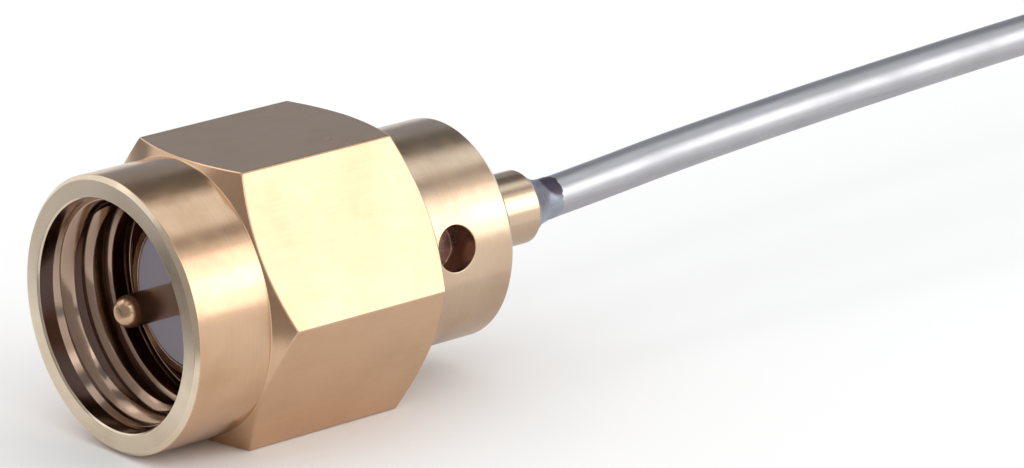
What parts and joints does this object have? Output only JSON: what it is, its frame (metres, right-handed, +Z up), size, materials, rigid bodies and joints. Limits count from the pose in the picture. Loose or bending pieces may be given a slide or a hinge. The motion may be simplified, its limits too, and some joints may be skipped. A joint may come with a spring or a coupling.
{
  "type": "sma connector",
  "caption": "Coaxial screw-on plug with a captive hexagon coupling nut, a centre pin, and a thin semi-rigid cable soldered into its rear ferrule.",
  "frame": {"origin": "on the coupling axis at the mating plane, where the centre pin leaves the insulator", "axes": "-X along the pin, out of the mating face; +X along the cable's exit; +Z up, square to a pair of wrench flats"},
  "size_m": [0.0793, 0.0146, 0.008],
  "materials": {
    "gold_plate_nut": "bright gold plating on turned brass",
    "gold_plate_shell": "bright gold plating on turned brass",
    "gold_plate_contact": "bright gold plating on a turned pin",
    "spring_copper": "plain spring copper alloy",
    "silicone": "matte moulded silicone",
    "fluoropolymer": "satin, machined fluoropolymer",
    "solder": "satin tin solder",
    "tinned_jacket": "bright tinned copper tube",
    "cable_dielectric": "satin extruded fluoropolymer",
    "silvered_core": "silver-plated wire"
  },
  "bodies": {
    "plug": {"shell": "gold_plate_shell", "insulator": "fluoropolymer", "centre_contact": "gold_plate_contact", "snap_ring": "spring_copper", "gasket": "silicone", "solder_fillet": "solder", "cable_jacket": "tinned_jacket", "cable_dielectric": "cable_dielectric", "cable_core": "silvered_core"},
    "nut": {"coupling_nut": "gold_plate_nut"}
  },
  "joints": [
    {"name": "nut_spin", "type": "hinge", "parent": "plug", "child": "nut", "pos_m": [0, 0, 0], "axis": [-1, 0, 0], "continuous": true}
  ]
}
